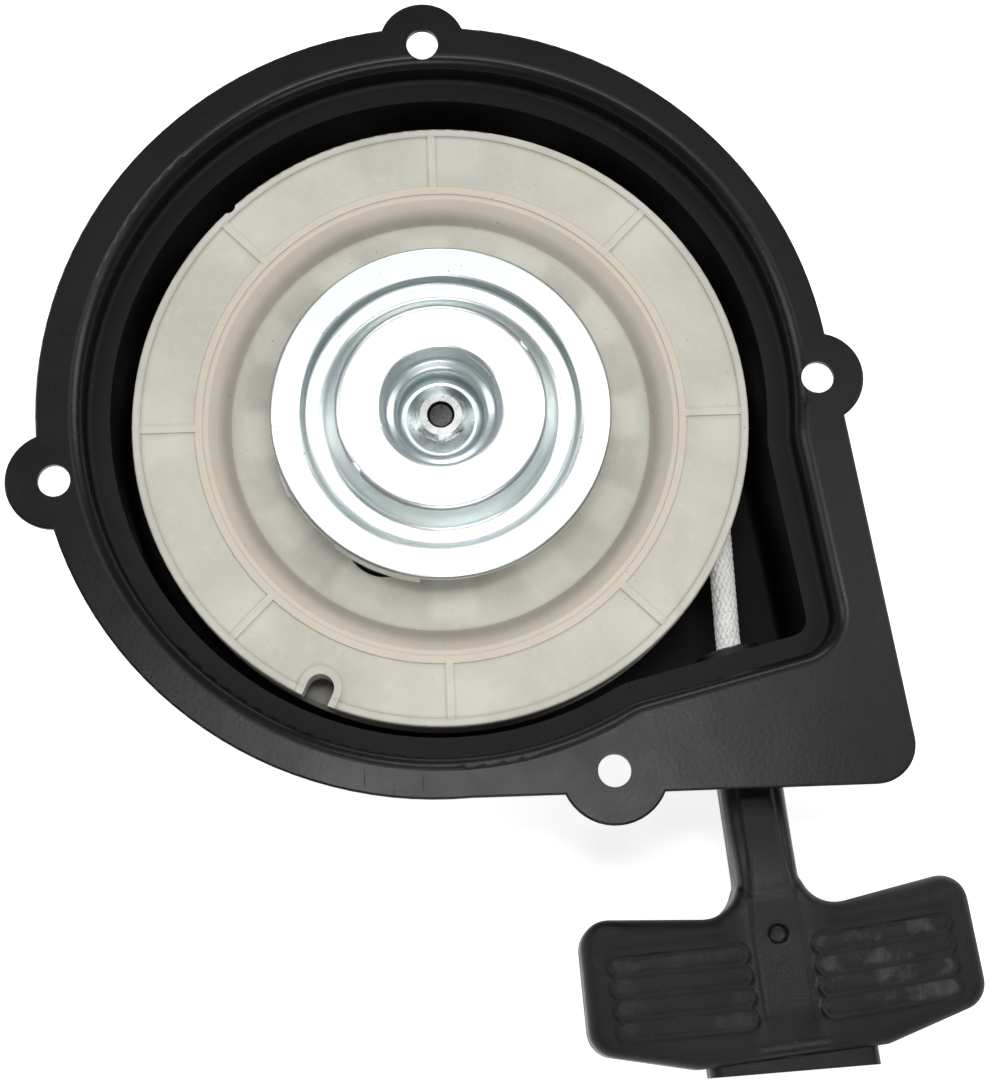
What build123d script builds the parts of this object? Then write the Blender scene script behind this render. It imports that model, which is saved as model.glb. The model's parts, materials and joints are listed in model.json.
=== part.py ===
from build123d import *
import os
from math import acos, atan2, cos, degrees, hypot, radians, sin, tan

# Recoil starter of a small engine, in millimetres.
# The origin is on the reel's axis, in the plane of the mounting flange's face.
# +Z points out of the open side, towards the engine. The pull handle is at -Y.
# The starter lies on its flat back.

# ---- driving dimensions -------------------------------------------------------------

# pressed steel housing
SHEET = 1.5
CASE_CENTRE = (-0.3, 1.8)
OPENING_R = 77.0
LEDGE_WIDTH = 5.2
LEDGE_Z = -8.0
BACK_Z = -43.0
FLANGE_CENTRE = (-1.2, 2.0)
FLANGE_R = 86.0
FLANGE_CORNER = ((0, 0), (-1.2, -83.9), (46.0, -82.4), (101.6, -80.5), (87.0, 0))
FLANGE_CORNER_R = 8.5
SPOUT = ((0, 0), (40.0, -63.5), (85.3, -50.8), (75.6, 0))
SPOUT_CORNER_R = 9.0
SPOUT_BLEND_R = 14.0
LOBE_ZONE = ((40.0, -60.0), (86.5, 0.0))
FLANGE_EDGE_R = 0.45
BACK_EDGE_R = 4.0
LEDGE_EDGE_R = 2.5
LEDGE_INNER_R = 1.2
BACK_INNER_R = 2.6
MOUNT_HOLE_R = 3.5
EARS = ((-4.2, 83.9, 9.6), (81.6, 7.4, 10.0), (-82.6, -15.7, 10.6), (36.5, -78.0, 11.5))
ROLL_R = 2.9
LOUVRE_COUNT = 12
LOUVRE_LENGTH = 20.0
LOUVRE_WIDTH = 4.5
LOUVRE_PITCH_R = 50.0

# shaft and what clamps it
STUD_R = 3.0
STUD_TOP_Z = -4.6
COLLAR_R = 5.0
COLLAR_TOP_Z = -8.4
JOURNAL_R = 7.0
JOURNAL_TOP_Z = -12.0
SPRING_HUB_R = 11.0
SPRING_HUB_TOP_Z = -25.2
SHANK_R = 6.0
BASE_R = 22.0
BASE_THICKNESS = 1.6
RIVET_PITCH_R = 16.0
RIVET_R = 2.5
NUT_ACROSS_FLATS = 10.0
NUT_FLANGE_R = 7.4
NUT_TOP_Z = -3.9

# rope
ROPE_R = 2.75
ROPE_Z = -18.2
ROPE_TURNS = 4
GROOVE_BOTTOM_R = 40.5
GROOVE_WIDTH = 6.0

# reel
REEL_R = 67.5
REEL_FACE_Z = -9.0
PANEL_Z = -9.45
FLOOR_Z = -13.0
FLOOR_R = 46.0
SLOPE_TOP_R = 51.0
BORDER_R = 53.0
BORDER_WIDTH = 1.7
RIM_LIP = 1.8
RIB_COUNT = 8
RIB_WIDTH = 1.6
RIB_START_DEG = 2.0
BACK_FLANGE = 2.5
CORE_WALL = 4.0
CORE_END_Z = -37.6
SPRING_ROOF_Z = -24.9
BUSH_R = 9.0
FIT = 0.05
NOTCH_DEG = -113.5
NOTCH_WIDTH = 6.0
NOTCH_START_R = 61.5
NOTCH_WALL = 1.6
NOTCH_WALL_TOP_Z = -8.3
COVER_THICKNESS = 0.8
COVER_R = 41.0
COVER_HOLE_R = 12.6
COVER_SCREW_R = 1.25
COVER_SCREW_PITCH_R = 38.6
KNOT_POCKET_DEG = -25.0
KNOT_POCKET_PITCH_R = 30.0
KNOT_POCKET_R = 5.6
MOULDED_EDGE_R = 0.5
RIM_CHIP_DEG = 134.0
RIM_CHIP_R = 1.7

# return spring
STRIP_THICKNESS = 0.6
STRIP_TOP_Z = -25.6
STRIP_BOTTOM_Z = -36.8
SPIRAL_TURNS = 8
SPIRAL_PITCH = 2.95

# pawls: pivot, and the outline of the first one at rest
PAWL_PIVOT = (-12.2, -25.6)
PAWL_HUB_R = 5.2
PAWL_BOTTOM_Z = -9.4
PAWL_TOP_Z = -5.0
PAWL_PIN_R = 3.0
PAWL_POCKET_R = 8.6
PAWL_POCKET_Z = -19.0
PAWL_TIP = ((-31.3, -12.2), (-34.9, -13.2), (-33.0, -17.8), (-25.0, -24.6))
TORSION_COIL_R = 7.2
TORSION_WIRE_R = 0.55
TORSION_TURNS = 5
TORSION_PITCH = 1.5

# friction plate
PLATE_SHEET = 1.6
PLATE_R = 37.0
PLATE_RIM_Z = -0.5
PLATE_GROOVE_Z = -3.0
PLATE_DISC_Z = 3.5
PRESSED_EDGE_R = 1.5
CUP_FLOOR_Z = -8.5
TAB_START_DEG = -128.0
TAB_SPAN_DEG = 31.0
TAB_END_Z = -6.3
LUG_PITCH_R = 24.5
LUG_DEG = -143.0
LUG_R = 2.4
LUG_END_Z = -8.6

# pull handle, along its own axis: distances start where the axis leaves the housing wall
HANDLE_LEAN_DEG = 7.5
ROPE_EXIT_X = 63.3
GUIDE_BARREL_R = 7.0
GUIDE_FLANGE_R = 8.5
GUIDE_BORE_R = 3.7
GUIDE_START = -3.2
GUIDE_SEAT = -3.8
GUIDE_LENGTH = 7.6
EYELET_R = 1.3
NOSE_R = 5.4
NOSE_START = 6.2
STEM_START = 9.6
STEM_HALF_WIDTH = 6.8
STEM_HALF_DEPTH = 6.2
SHOULDER_FOOT = 53.8
SHOULDER_R = 7.5
BAR_TIP = ((41.2, 50.2), (42.3, 78.2), (20.0, 84.4))
BAR_HALF_DEPTH = 9.5
BAR_CORNER_R = 5.8
BAR_EDGE_R = 3.4
STEM_EDGE_R = 3.2
CAP_CORNER_R = 3.0
CAP_HALF_WIDTH = 18.0
CAP_HALF_DEPTH = 6.5
CAP_THIN_END = 2.0
CAP_THICK_END = 3.9
KNOT_CHAMBER_START = 57.0
KNOT_CHAMBER_R = 7.0
KNOT_R = 5.6
KNOT_AT = 64.4
GRIP_RIBS = 4
GRIP_RIB_PITCH = 4.5
GRIP_RIB_START = 61.5
GRIP_RIB_WIDTH = 3.3
GRIP_RIB_LENGTH = 29.0
GRIP_RIB_CENTRE = 21.5
GRIP_RIB_HEIGHT = 0.9
GRIP_RIB_TILT_DEG = 2.2
DIMPLE_AT = 58.8
DIMPLE_R = 2.0

# ---- what follows from them ---------------------------------------------------------

BACK_OUTSIDE_Z = BACK_Z - SHEET
BASE_TOP_Z = BACK_Z + BASE_THICKNESS
GROOVE_TOP_Z = ROPE_Z + GROOVE_WIDTH / 2
GROOVE_END_Z = ROPE_Z - GROOVE_WIDTH / 2
WINDING_R = GROOVE_BOTTOM_R + 2 * ROPE_R * ROPE_TURNS
LAST_TURN_R = WINDING_R - ROPE_R
LEAN = radians(HANDLE_LEAN_DEG)
PULL = (sin(LEAN), -cos(LEAN))
WALL_DEG = degrees(atan2(SPOUT[2][1] - SPOUT[1][1], SPOUT[2][0] - SPOUT[1][0]))
WALL_NORMAL_DEG = WALL_DEG - 90
WALL_Y_AT_EXIT = SPOUT[1][1] + (ROPE_EXIT_X - SPOUT[1][0]) * tan(radians(WALL_DEG))
WALL_SETBACK = (LEDGE_WIDTH - SHEET) / cos(radians(WALL_DEG))
HANDLE_AXIS_POINT = (ROPE_EXIT_X, WALL_Y_AT_EXIT + WALL_SETBACK)


def polar(radius, angle_deg):
    return radius * cos(radians(angle_deg)), radius * sin(radians(angle_deg))


def cylinder(radius, low, high, x=0.0, y=0.0):
    """Upright cylinder between two heights."""
    return Pos(x, y, low) * extrude(Circle(radius), amount=high - low)


def slab(sketch, low, high):
    """A flat outline raised between two heights."""
    return Pos(0, 0, low) * extrude(sketch, amount=high - low)


def turned(*profile):
    """A solid turned about the Z axis from (radius, height) points."""
    return revolve(Plane.XZ * Polygon(*profile, align=None), Axis.Z)


def rounded(points, largest):
    """A closed outline with each corner rounded by a share of its sides, up to a largest radius."""
    share = 0.3
    radii = []
    for i, corner in enumerate(points):
        before = Vector(*corner) - Vector(*points[i - 1])
        after = Vector(*points[(i + 1) % len(points)]) - Vector(*corner)
        half_turn = radians(before.get_angle(after)) / 2
        radii.append(min(largest, share * min(before.length, after.length) / tan(half_turn)))
    return make_face(FilletPolyline(*points, radius=radii, close=True))


def turned_soft(points, largest):
    """A solid turned about the Z axis from (radius, height) points with rounded corners."""
    return revolve(Plane.XZ * rounded(points, largest), Axis.Z)


def along_pull(distance):
    """The point at a distance along the handle's axis from the wall."""
    x = HANDLE_AXIS_POINT[0] + PULL[0] * distance
    y = HANDLE_AXIS_POINT[1] + PULL[1] * distance
    return x, y, ROPE_Z


def pull_plane(distance=0.0):
    """A plane across the handle's axis, with its normal along the pull."""
    return Plane(origin=along_pull(distance), x_dir=(0, 0, 1), z_dir=(PULL[0], PULL[1], 0))


def handle_plane():
    """The handle's own plane: x across, y back towards the housing, z as in the part."""
    return Plane(origin=along_pull(0), x_dir=(-PULL[1], PULL[0], 0), z_dir=(0, 0, 1))


def pull_rod(radius, start, end):
    """A round bar along the handle's axis."""
    return extrude(pull_plane(start) * Circle(radius), amount=end - start)


# ---- housing ------------------------------------------------------------------------

def opening_outline():
    """The housing's mouth: a circle with a rounded lobe where the rope leaves."""
    lobe = Polygon(*SPOUT, align=None)
    corner = lobe.vertices().sort_by(Axis.X)[-1]
    lobe = fillet(corner, SPOUT_CORNER_R)
    outline = Pos(*CASE_CENTRE) * Circle(OPENING_R) + lobe
    joins = [v for v in outline.vertices() if on_circle(v, CASE_CENTRE, OPENING_R)]
    joins = [v for v in joins if v.X > 0 and v.Y < 0]
    return fillet(joins, SPOUT_BLEND_R)


def on_circle(vertex, centre, radius):
    return abs(hypot(vertex.X - centre[0], vertex.Y - centre[1]) - radius) < 0.01


def flange_outline():
    """The flange's edge: a circle, a squared lower corner and four mounting ears."""
    corner = Polygon(*FLANGE_CORNER, align=None)
    tip = corner.vertices().sort_by(Axis.X)[-1]
    outline = Pos(*FLANGE_CENTRE) * Circle(FLANGE_R) + fillet(tip, FLANGE_CORNER_R)
    for x, y, radius in EARS:
        outline += Pos(x, y) * Circle(radius)
    return outline


def housing_case():
    mouth = opening_outline()
    throat = offset(mouth, amount=-LEDGE_WIDTH)
    upper = slab(offset(mouth, amount=SHEET), LEDGE_Z - SHEET, 0)
    lower = slab(offset(throat, amount=SHEET), BACK_OUTSIDE_Z, LEDGE_Z)
    lower = fillet(lower.faces().sort_by(Axis.Z)[0].edges(), BACK_EDGE_R)
    upper = fillet(upper.faces().sort_by(Axis.Z)[0].edges(), LEDGE_EDGE_R)
    hollow_top = slab(mouth, LEDGE_Z, 1)
    hollow_top = fillet(hollow_top.faces().sort_by(Axis.Z)[0].edges(), LEDGE_INNER_R)
    hollow = slab(throat, BACK_Z, LEDGE_Z + 1)
    hollow = fillet(hollow.faces().sort_by(Axis.Z)[0].edges(), BACK_INNER_R)
    flange = slab(flange_outline(), -SHEET, 0)
    flange_rims = flange.edges().group_by(Axis.Z)
    flange = fillet(flange_rims[0] + flange_rims[-1], FLANGE_EDGE_R)
    case = flange + upper + lower
    case -= hollow_top + hollow
    mouth_edges = [e for e in case.edges() if abs(e.center().Z) < 0.01 and inside_flange(e)]
    case = fillet(mouth_edges, ROLL_R)
    for x, y, _ in EARS:
        case -= cylinder(MOUNT_HOLE_R, -SHEET - 1, 1, x, y)
    case -= cylinder(SHANK_R, BACK_OUTSIDE_Z - 1, BACK_Z + 1)
    for i in range(4):
        case -= cylinder(RIVET_R, BACK_OUTSIDE_Z - 1, BACK_Z + 1, *polar(RIVET_PITCH_R, 45 + 90 * i))
    louvre = slab(SlotOverall(LOUVRE_LENGTH, LOUVRE_WIDTH), BACK_OUTSIDE_Z - 1, BACK_Z + 1)
    for i in range(LOUVRE_COUNT):
        case -= Rot(0, 0, 360 / LOUVRE_COUNT * (i + 0.5)) * Pos(LOUVRE_PITCH_R, 0, 0) * louvre
    return case - wall_rod(GUIDE_BARREL_R, -6, 6)


def inside_flange(edge):
    centre = edge @ 0.5
    return all(hypot(centre.X - x, centre.Y - y) > r + 0.5 for x, y, r in EARS) and in_mouth(centre)


def in_mouth(point):
    if hypot(point.X - CASE_CENTRE[0], point.Y - CASE_CENTRE[1]) < OPENING_R + 1:
        return True
    low, high = LOBE_ZONE
    return low[0] < point.X < high[0] and low[1] < point.Y < high[1]


def wall_plane(distance=0.0):
    """A plane on the wall's outer face at the rope exit, moved outwards by a distance."""
    x, y, z = along_pull(0)
    nx, ny = polar(1, WALL_NORMAL_DEG)
    return Plane(origin=(x + nx * distance, y + ny * distance, z), x_dir=(0, 0, 1), z_dir=(nx, ny, 0))


def wall_rod(radius, start, end):
    """A round bar square to the wall at the rope exit."""
    return extrude(wall_plane(start) * Circle(radius), amount=end - start)


def guide_eyelet():
    """The hard ring that the rope rubs on, in a seat in the guide's inner mouth."""
    ring = Pos(GUIDE_BORE_R + EYELET_R, 0) * Circle(EYELET_R)
    return wall_plane(GUIDE_SEAT + EYELET_R) * revolve(Plane.XZ * ring, Axis.Z)


def rope_guide():
    guide = wall_rod(GUIDE_BARREL_R, GUIDE_START, 3.0)
    guide += wall_rod(GUIDE_FLANGE_R, 0.0, 2.2)
    guide += wall_rod(GUIDE_BARREL_R + 1.2, 2.0, GUIDE_LENGTH)
    guide -= pull_rod(GUIDE_BORE_R, -12, 20)
    guide -= wall_rod(GUIDE_BORE_R + 2 * EYELET_R + 0.05, GUIDE_START - 1, GUIDE_SEAT + 2 * EYELET_R)
    return guide - pull_rod(NOSE_R + 0.45, NOSE_START - 0.3, 20)


# ---- shaft --------------------------------------------------------------------------

def center_shaft():
    shaft = turned(
        (0, BACK_OUTSIDE_Z), (SHANK_R, BACK_OUTSIDE_Z), (SHANK_R, BASE_TOP_Z),
        (SPRING_HUB_R, BASE_TOP_Z), (SPRING_HUB_R, SPRING_HUB_TOP_Z),
        (JOURNAL_R, SPRING_HUB_TOP_Z), (JOURNAL_R, JOURNAL_TOP_Z), (COLLAR_R, JOURNAL_TOP_Z),
        (COLLAR_R, COLLAR_TOP_Z), (STUD_R, COLLAR_TOP_Z), (STUD_R, STUD_TOP_Z - 0.6),
        (STUD_R - 0.6, STUD_TOP_Z), (0, STUD_TOP_Z),
    )
    slot_depth = 3.0
    slot = Pos(SPRING_HUB_R - slot_depth / 2, 0, (SPRING_HUB_TOP_Z + BASE_TOP_Z) / 2)
    return shaft - slot * Box(slot_depth + 0.01, 1.6, SPRING_HUB_TOP_Z - BASE_TOP_Z)


def shaft_base_plate():
    plate = cylinder(BASE_R, BACK_Z, BASE_TOP_Z) - cylinder(SHANK_R, BACK_Z, BASE_TOP_Z)
    for i in range(4):
        plate -= cylinder(RIVET_R, BACK_Z, BASE_TOP_Z, *polar(RIVET_PITCH_R, 45 + 90 * i))
    return plate


def shaft_rivets():
    head = 1.5
    rivet = turned(
        (0, BACK_OUTSIDE_Z), (RIVET_R, BACK_OUTSIDE_Z), (RIVET_R, BASE_TOP_Z),
        (RIVET_R + 1.7, BASE_TOP_Z), (RIVET_R + 1.2, BASE_TOP_Z + 1.0),
        (RIVET_R, BASE_TOP_Z + head), (0, BASE_TOP_Z + head),
    )
    return [Pos(*polar(RIVET_PITCH_R, 45 + 90 * i), 0) * rivet for i in range(4)]


def flange_nut():
    hexagon = RegularPolygon(NUT_ACROSS_FLATS / 2, 6, major_radius=False, rotation=30)
    body = slab(hexagon, COLLAR_TOP_Z + 1.0, NUT_TOP_Z)
    crown = turned(
        (0, COLLAR_TOP_Z), (6.4, COLLAR_TOP_Z), (6.4, NUT_TOP_Z - 1.0), (4.6, NUT_TOP_Z),
        (0, NUT_TOP_Z),
    )
    skirt = turned(
        (0, COLLAR_TOP_Z), (NUT_FLANGE_R, COLLAR_TOP_Z), (NUT_FLANGE_R, COLLAR_TOP_Z + 0.9),
        (5.4, COLLAR_TOP_Z + 1.8), (0, COLLAR_TOP_Z + 1.8),
    )
    return (body & crown) + skirt - cylinder(STUD_R, COLLAR_TOP_Z, NUT_TOP_Z)


# ---- reel ---------------------------------------------------------------------------

def pawl_places():
    """Turns for the two pawls and what goes with them."""
    return [Rot(0, 0, 0), Rot(0, 0, 180)]


def reel_profile():
    inner_border = BORDER_R - BORDER_WIDTH / 2
    outer_border = BORDER_R + BORDER_WIDTH / 2
    cavity_r = GROOVE_BOTTOM_R - CORE_WALL
    return (
        (BUSH_R, FLOOR_Z), (FLOOR_R, FLOOR_Z), (SLOPE_TOP_R, REEL_FACE_Z - 0.4),
        (inner_border, REEL_FACE_Z - 0.4), (inner_border, REEL_FACE_Z), (outer_border, REEL_FACE_Z),
        (outer_border, PANEL_Z), (REEL_R - RIM_LIP, PANEL_Z), (REEL_R - RIM_LIP, REEL_FACE_Z),
        (REEL_R, REEL_FACE_Z), (REEL_R, GROOVE_TOP_Z + 1.2), (REEL_R - 1.2, GROOVE_TOP_Z),
        (GROOVE_BOTTOM_R, GROOVE_TOP_Z), (GROOVE_BOTTOM_R, GROOVE_END_Z),
        (REEL_R - 1.5, GROOVE_END_Z), (REEL_R - 0.5, GROOVE_END_Z - 1.0),
        (REEL_R - 0.5, GROOVE_END_Z - BACK_FLANGE), (GROOVE_BOTTOM_R, GROOVE_END_Z - BACK_FLANGE),
        (GROOVE_BOTTOM_R, CORE_END_Z), (cavity_r, CORE_END_Z), (cavity_r, SPRING_ROOF_Z),
        (BUSH_R, SPRING_ROOF_Z),
    )


def rope_reel():
    reel = turned_soft(reel_profile(), MOULDED_EDGE_R)
    rib_length = REEL_R - RIM_LIP - BORDER_R
    rib = Pos(BORDER_R + rib_length / 2, 0, (PANEL_Z + REEL_FACE_Z) / 2)
    rib *= Box(rib_length + 0.4, RIB_WIDTH, REEL_FACE_Z - PANEL_Z + 0.2)
    for i in range(RIB_COUNT):
        reel += Rot(0, 0, RIB_START_DEG + 360 / RIB_COUNT * i) * rib
    walls = (NOTCH_WIDTH + 2 * NOTCH_WALL, NOTCH_START_R - NOTCH_WALL)
    reel += tie_notch(*walls, PANEL_Z - 0.5, NOTCH_WALL_TOP_Z)
    reel -= tie_notch(NOTCH_WIDTH, NOTCH_START_R, GROOVE_TOP_Z - 1, 0)
    chip = polar(REEL_R + 0.5 * RIM_CHIP_R, RIM_CHIP_DEG)
    reel -= cylinder(RIM_CHIP_R, GROOVE_TOP_Z + 2.5, 0, *chip)
    for turn in pawl_places():
        pocket = cylinder(PAWL_POCKET_R, PAWL_POCKET_Z, FLOOR_Z + 1, *PAWL_PIVOT)
        pin_hole = cylinder(PAWL_PIN_R, SPRING_ROOF_Z + 1.4, PAWL_POCKET_Z, *PAWL_PIVOT)
        reel -= turn * (pocket + pin_hole)
    reel -= cylinder(KNOT_POCKET_R, ROPE_Z - KNOT_POCKET_R + 0.3, FLOOR_Z + 1, *knot_place())
    reel -= knot_channel(ROPE_R + 0.1, GROOVE_BOTTOM_R + 1)
    for place in cover_screw_places():
        reel -= place * cylinder(COVER_SCREW_R, CORE_END_Z, CORE_END_Z + 7)
    return reel


def tie_notch(width, start_r, low, high):
    """A bar from a rounded inner end out to just inside the reel's rim."""
    run = REEL_R - start_r - width / 2
    outline = Pos(start_r + width / 2, 0) * Circle(width / 2)
    outline += Pos(start_r + width / 2 + run / 2, 0) * Rectangle(run, width)
    bar = slab(Rot(0, 0, NOTCH_DEG) * outline, low, high)
    return bar & cylinder(REEL_R, low, high)


def knot_place():
    return polar(KNOT_POCKET_PITCH_R, KNOT_POCKET_DEG)


def knot_channel(radius, end_r):
    """The way that leads the rope's inner end from its knot to the groove."""
    x, y = knot_place()
    direction = (*polar(1, KNOT_POCKET_DEG), 0)
    start = Plane(origin=(x, y, ROPE_Z), z_dir=direction)
    return extrude(start * Circle(radius), amount=end_r - KNOT_POCKET_PITCH_R)


def reel_rope_knot():
    x, y = knot_place()
    knot = Pos(x, y, ROPE_Z + 0.3) * Sphere(KNOT_POCKET_R - 0.5)
    return knot + knot_channel(ROPE_R, GROOVE_BOTTOM_R - 0.2)


def reel_bush():
    return cylinder(BUSH_R, SPRING_ROOF_Z, FLOOR_Z) - cylinder(JOURNAL_R + FIT, SPRING_ROOF_Z, FLOOR_Z)


def thrust_washer():
    top = JOURNAL_TOP_Z - 0.1
    return cylinder(11.5, FLOOR_Z, top) - cylinder(JOURNAL_R + FIT, FLOOR_Z, top)


def cover_screw_places():
    return [Rot(0, 0, 45 + 90 * i) * Pos(COVER_SCREW_PITCH_R, 0, 0) for i in range(4)]


def spring_cover():
    low = CORE_END_Z - COVER_THICKNESS
    cover = cylinder(COVER_R, low, CORE_END_Z) - cylinder(COVER_HOLE_R, low, CORE_END_Z)
    for place in cover_screw_places():
        cover -= place * cylinder(COVER_SCREW_R, low, CORE_END_Z)
    return cover


def cover_screws():
    low = CORE_END_Z - COVER_THICKNESS
    screw = turned(
        (0, low - 1.2), (1.7, low - 1.2), (2.4, low - 0.5), (2.4, low), (COVER_SCREW_R, low),
        (COVER_SCREW_R, CORE_END_Z + 6), (0, CORE_END_Z + 6),
    )
    recess = Pos(0, 0, low - 1.2) * (Box(2.8, 0.6, 1.2) + Box(0.6, 2.8, 1.2))
    return [place * (screw - recess) for place in cover_screw_places()]


def power_spring():
    """A flat strip wound from half circles about two centres, with a tail in the hub's slot."""
    start_r = SPRING_HUB_R + 1.0
    shift = SPIRAL_PITCH / 4
    outline = []
    for edge_r in (start_r, start_r + STRIP_THICKNESS):
        arcs = []
        for i in range(2 * SPIRAL_TURNS):
            side = 1 if i % 2 == 0 else -1
            centre = (-side * shift, 0)
            radius = edge_r + shift + i * SPIRAL_PITCH / 2
            arcs.append(CenterArc(centre, radius, 0 if side > 0 else 180, 180))
        outline.append(arcs)
    inside, outside = outline
    ends = [Line(inside[0] @ 0, outside[0] @ 0), Line(inside[-1] @ 1, outside[-1] @ 1)]
    strip = slab(make_face(inside + outside + ends), STRIP_BOTTOM_Z, STRIP_TOP_Z)
    tail_start = SPRING_HUB_R - 2.4
    tail_end = start_r + STRIP_THICKNESS
    tail_middle = (tail_start + tail_end) / 2
    tail = Pos(tail_middle, STRIP_THICKNESS / 2, (STRIP_BOTTOM_Z + STRIP_TOP_Z) / 2)
    tail *= Box(tail_end - tail_start, STRIP_THICKNESS, STRIP_TOP_Z - STRIP_BOTTOM_Z)
    return strip + tail


def rope_winding():
    """The outer shape of the wound rope, with room where the last turn leaves it."""
    ring = cylinder(WINDING_R, ROPE_Z - ROPE_R, ROPE_Z + ROPE_R)
    ring -= cylinder(GROOVE_BOTTOM_R + FIT, ROPE_Z - ROPE_R, ROPE_Z + ROPE_R)
    return ring - rope_tube(ROPE_R + 0.3)


# ---- rope and handle ----------------------------------------------------------------

def rope_route():
    """From the last turn's tangent point, through the guide, to the knot in the handle."""
    guide_mouth = along_pull(-3.0)
    reach = hypot(guide_mouth[0], guide_mouth[1])
    heading = degrees(atan2(guide_mouth[1], guide_mouth[0]))
    tangent_deg = heading + degrees(acos(LAST_TURN_R / reach))
    return [(*polar(LAST_TURN_R, tangent_deg), ROPE_Z), guide_mouth, along_pull(KNOT_AT - 4.0)]


def rope_tube(radius):
    route = FilletPolyline(*rope_route(), radius=[60.0])
    return sweep((route ^ 0) * Circle(radius), path=route)


def rope_end_knot():
    return Pos(*along_pull(KNOT_AT)) * Sphere(KNOT_R) - pull_rod(ROPE_R, KNOT_AT - 10, KNOT_AT - 4.0)


def rope_washer():
    start = KNOT_CHAMBER_START + 0.1
    return pull_rod(KNOT_CHAMBER_R - 0.5, start, start + 1.4) - pull_rod(ROPE_R + 0.1, start, start + 1.4)


def handle_outline():
    """The handle seen flat, in its own plane: stem, rising shoulders and tapered lower edge."""
    right = [(STEM_HALF_WIDTH, -STEM_START), (STEM_HALF_WIDTH, -SHOULDER_FOOT - 0.9)]
    right += [(u, -s) for u, s in BAR_TIP]
    left = [(-u, v) for u, v in reversed(right)]
    outline = Polygon(*right, *left, align=None)
    corners = outline.vertices()
    outline = fillet([v for v in corners if abs(v.X) > 38], BAR_CORNER_R)
    inner = [v for v in outline.vertices() if abs(abs(v.X) - STEM_HALF_WIDTH) < 0.1 and v.Y < -50]
    return fillet(inner, SHOULDER_R)


def handle_grip():
    outline = handle_outline()
    bar_zone = Pos(0, -70) * Rectangle(100, 44)
    stem = extrude(outline, amount=STEM_HALF_DEPTH, both=True)
    rims = stem.edges().group_by(Axis.Z)
    stem = fillet(rims[0] + rims[-1], STEM_EDGE_R)
    bar = extrude(outline & bar_zone, amount=BAR_HALF_DEPTH, both=True)
    rims = bar.edges().group_by(Axis.Z)
    bar = fillet(rims[0] + rims[-1], BAR_EDGE_R)
    grip = handle_plane() * (stem + bar + grip_ribs())
    grip += pull_rod(NOSE_R, NOSE_START, STEM_START + 1)
    grip -= pull_rod(ROPE_R + 0.5, 0, KNOT_CHAMBER_START)
    grip -= pull_rod(KNOT_CHAMBER_R, KNOT_CHAMBER_START, 90)
    dimple = Pos(0, -DIMPLE_AT, BAR_HALF_DEPTH) * Cylinder(DIMPLE_R, 2.4)
    return grip - handle_plane() * dimple


def grip_ribs():
    """Raised finger ribs on both faces of the bar."""
    outline = SlotOverall(GRIP_RIB_LENGTH, GRIP_RIB_WIDTH)
    rib = extrude(outline, amount=BAR_HALF_DEPTH + GRIP_RIB_HEIGHT, both=True)
    ribs = []
    for side in (-1, 1):
        for i in range(GRIP_RIBS):
            y = -GRIP_RIB_START - GRIP_RIB_PITCH * i
            place = Pos(side * GRIP_RIB_CENTRE, y, 0) * Rot(0, 0, side * GRIP_RIB_TILT_DEG)
            ribs.append(place * rib)
    return ribs


def handle_cap():
    """A wedge-shaped plate under the bar, with a plug for the knot's chamber."""
    start = BAR_TIP[-1][1]
    wedge = Polygon(
        (-CAP_HALF_WIDTH, -start), (-CAP_HALF_WIDTH, -start - CAP_THIN_END),
        (CAP_HALF_WIDTH, -start - CAP_THICK_END), (CAP_HALF_WIDTH, -start), align=None,
    )
    plate = extrude(wedge, amount=CAP_HALF_DEPTH, both=True)
    plate = fillet(plate.edges().filter_by(Axis.Y), CAP_CORNER_R)
    return handle_plane() * plate + pull_rod(KNOT_CHAMBER_R, start - 8, start)


# ---- pawls and friction plate -------------------------------------------------------

def pawl():
    """A pawl at rest: a round hub and an arm that ends in a square tip."""
    px, py = PAWL_PIVOT
    hub = Pos(px, py) * Circle(PAWL_HUB_R)
    arm = Polygon((px + 1.6, py + 3.5), *PAWL_TIP, (px - 2.3, py - 4.6), align=None)
    body = slab(hub + arm, PAWL_BOTTOM_Z, PAWL_TOP_Z)
    return body - cylinder(PAWL_PIN_R + FIT, PAWL_BOTTOM_Z, PAWL_TOP_Z, px, py)


def pawl_pin():
    shoulder_r = 4.6
    shoulder_z = PAWL_BOTTOM_Z - 0.1
    pin = turned(
        (0, SPRING_ROOF_Z + 1.4), (PAWL_PIN_R, SPRING_ROOF_Z + 1.4), (PAWL_PIN_R, PAWL_POCKET_Z),
        (shoulder_r, PAWL_POCKET_Z), (shoulder_r, shoulder_z), (PAWL_PIN_R, shoulder_z),
        (PAWL_PIN_R, PAWL_TOP_Z - 0.5), (PAWL_PIN_R - 0.4, PAWL_TOP_Z - 0.1), (0, PAWL_TOP_Z - 0.1),
    )
    return Pos(*PAWL_PIVOT, 0) * pin


def pawl_spring():
    height = TORSION_TURNS * TORSION_PITCH
    coil = Helix(TORSION_PITCH, height, TORSION_COIL_R)
    wire = sweep((coil ^ 0) * Circle(TORSION_WIRE_R), path=coil, is_frenet=True)
    return Pos(*PAWL_PIVOT, PAWL_POCKET_Z + TORSION_WIRE_R + 0.2) * wire


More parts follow.
